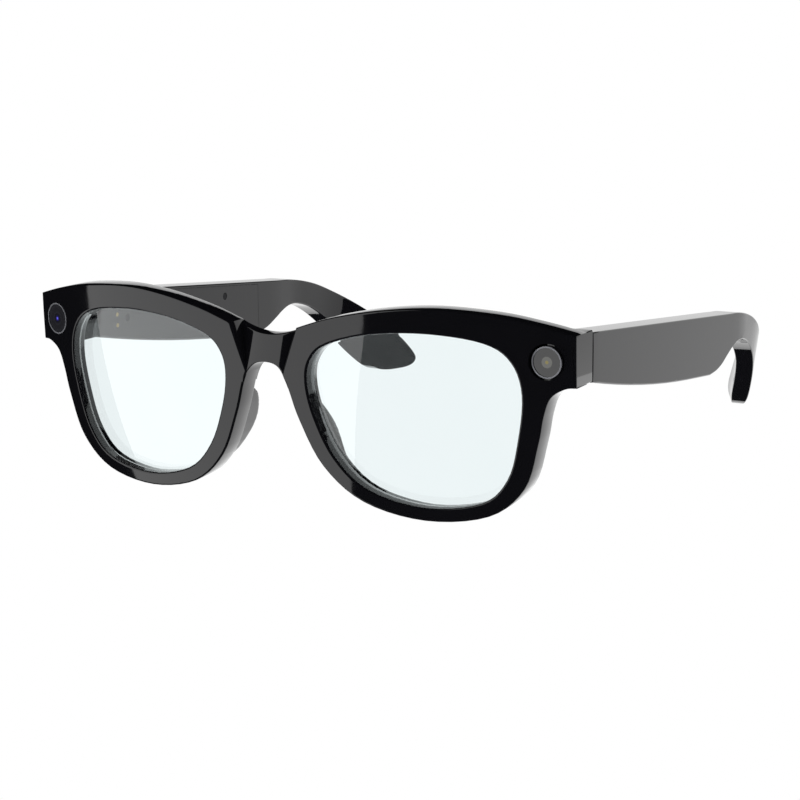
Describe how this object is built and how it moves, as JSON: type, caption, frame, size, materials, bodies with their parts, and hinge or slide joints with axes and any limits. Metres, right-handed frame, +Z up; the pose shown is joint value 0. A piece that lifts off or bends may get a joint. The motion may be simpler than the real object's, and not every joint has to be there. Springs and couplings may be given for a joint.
{
  "type": "camera glasses",
  "caption": "Smart glasses with a curved glossy black front, clear lenses, a camera and a light in the end pieces, and folding temples that hold the battery, boards and speakers.",
  "frame": {"origin": "middle of the bounding box, on the plane the glasses stand on (the bottom of both rims and of both temple tips)", "axes": "+Z up, the front faces -Y, the temples run +Y, +X is the wearer's left"},
  "size_m": [0.144, 0.1695, 0.0492],
  "materials": {
    "black_shell": "glossy injection-moulded, polished",
    "black_cover": "fine satin moulded",
    "clear_lens": "clear polished with a faint cyan-grey tint",
    "dark_glass": "dark tinted, coated",
    "smoked_window": "smoked, polished",
    "ring_metal": "dark anodised, turned",
    "lens_barrel": "matte black",
    "light_die": "yellow phosphor",
    "circuit_board": "solder mask",
    "flex_film": "amber polyimide film",
    "hinge_steel": "stamped and polished",
    "screw_steel": "turned",
    "shield_can": "drawn tinplate",
    "chip_package": "moulded epoxy",
    "small_component": "metal can",
    "battery_foil": "laminated foil pouch",
    "speaker_box": "matte grey",
    "grille_metal": "black-coated perforated sheet",
    "contact_gold": "gold-plated",
    "control_plastic": "glossy moulded"
  },
  "bodies": {
    "front": {"front_frame": "black_shell", "brow_cover": "black_cover", "lens_left": "clear_lens", "lens_right": "clear_lens", "nose_pad_left": "black_shell", "nose_pad_right": "black_shell", "camera_ring": "ring_metal", "camera_window": "dark_glass", "camera_barrel": "lens_barrel", "camera_module": "circuit_board", "light_ring": "ring_metal", "light_window": "smoked_window", "light_chip": "light_die", "light_board": "circuit_board", "front_flex": "flex_film", "bridge_microphone": "small_component", "hinge_leaf_front_left": "hinge_steel", "hinge_leaf_front_right": "hinge_steel", "hinge_screw_left": "screw_steel", "hinge_screw_right": "screw_steel", "front_screws": "screw_steel"},
    "temple_left": {"temple_shell_left": "black_shell", "temple_cover_left": "black_cover", "hinge_leaf_temple_left": "hinge_steel", "battery": "battery_foil", "battery_board": "circuit_board", "speaker_left": "speaker_box", "speaker_grille_left": "grille_metal", "switch_body": "small_component", "microphone_left": "small_component", "temple_flex_left": "flex_film", "temple_screws_left": "screw_steel"},
    "power_switch": {"power_switch": "control_plastic"},
    "temple_right": {"temple_shell_right": "black_shell", "temple_cover_right": "black_cover", "hinge_leaf_temple_right": "hinge_steel", "main_board": "circuit_board", "processor_shield": "shield_can", "memory_chip": "chip_package", "speaker_right": "speaker_box", "speaker_grille_right": "grille_metal", "touch_sensor": "flex_film", "charging_contacts": "contact_gold", "button_switch": "small_component", "microphone_right": "small_component", "temple_flex_right": "flex_film", "temple_screws_right": "screw_steel"},
    "capture_button": {"capture_button": "control_plastic"}
  },
  "joints": [
    {"name": "temple_right_fold", "type": "hinge", "parent": "front", "child": "temple_right", "pos_m": [-0.065, -0.06358, 0.035], "axis": [0, 0, -1], "range_deg": [0, 89.5]},
    {"name": "temple_left_fold", "type": "hinge", "parent": "front", "child": "temple_left", "pos_m": [0.065, -0.06358, 0.035], "axis": [0, 0, 1], "range_deg": [0, 69]},
    {"name": "capture_button_press", "type": "slide", "parent": "temple_right", "child": "capture_button", "axis": [0, -0.1045, -0.9945], "range_m": [0, 0.0004], "stiffness_N_per_m": 500},
    {"name": "power_switch_slide", "type": "slide", "parent": "temple_left", "child": "power_switch", "axis": [0, 0.9945, -0.1045], "range_m": [0, 0.0015]}
  ]
}
